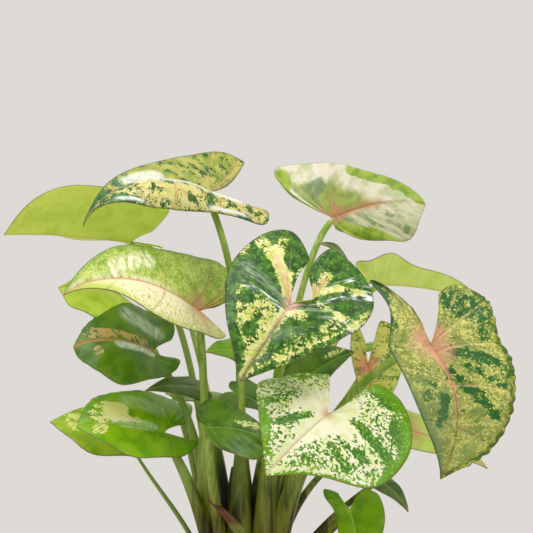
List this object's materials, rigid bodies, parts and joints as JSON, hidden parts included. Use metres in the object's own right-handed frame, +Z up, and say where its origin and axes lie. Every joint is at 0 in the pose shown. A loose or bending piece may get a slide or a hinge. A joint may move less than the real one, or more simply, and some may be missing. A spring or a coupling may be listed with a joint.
{
  "type": "potted dwarf arrowhead plant",
  "caption": "Young arrowhead plant with mottled heart-shaped leaves on slender stalks that crowd into a crown in the soil of a plain tapered round pot.",
  "frame": {"origin": "centre of the pot's flat underside, which rests on the surface", "axes": "+Z up along the pot's axis, the pictured front looks along -Y, +X to the right of that front"},
  "size_m": [0.255, 0.1817, 0.3149],
  "materials": {
    "pot_plastic": "matt terracotta-coloured plastic",
    "potting_soil": "loose dark peat and bark crumbs",
    "withered_sheath": "dry papery brown",
    "stem_green": "smooth waxy green with brownish rings",
    "mottled_leaf": "glossy, dark green with cream mottling along pink-based veins",
    "cream_leaf": "glossy cream with green speckles and a pink midrib",
    "olive_leaf": "satin olive with dark blotches and pink veins",
    "spotted_leaf": "glossy tan-cream with dark green spots",
    "rolled_leaf": "satin cream with olive-green margins and a brown-pink midrib",
    "pale_green_leaf": "satin pale green",
    "deep_green_leaf": "glossy deep green with a tan midrib",
    "bright_green_leaf": "glossy mid green with cream flecks"
  },
  "bodies": {
    "root": {"pot": "pot_plastic", "soil": "potting_soil", "old_leaf_sheath": "withered_sheath", "left_stem": "stem_green", "right_stem": "stem_green", "front_mottled_leaf": "mottled_leaf", "low_cream_leaf": "cream_leaf", "right_olive_leaf": "olive_leaf", "left_cream_leaf": "cream_leaf", "top_spotted_leaf": "spotted_leaf", "far_left_leaf": "pale_green_leaf", "top_rolled_leaf": "rolled_leaf", "right_back_leaf": "pale_green_leaf", "left_dark_leaf": "deep_green_leaf", "low_left_leaf": "bright_green_leaf", "low_left_back_leaf": "bright_green_leaf", "small_grey_leaf": "deep_green_leaf", "centre_dark_leaf": "deep_green_leaf", "back_left_leaf": "pale_green_leaf", "shaded_leaf": "deep_green_leaf", "pink_back_leaf": "olive_leaf", "low_right_leaf": "bright_green_leaf", "low_right_young_leaf": "pale_green_leaf", "right_low_back_leaf": "pale_green_leaf", "curled_young_leaf": "deep_green_leaf", "small_back_leaf": "bright_green_leaf", "inner_dark_leaf": "deep_green_leaf", "rear_left_leaf": "bright_green_leaf", "rear_middle_leaf": "pale_green_leaf", "rear_right_leaf": "bright_green_leaf", "rear_low_left_leaf": "bright_green_leaf", "rear_low_right_leaf": "bright_green_leaf"}
  },
  "joints": []
}
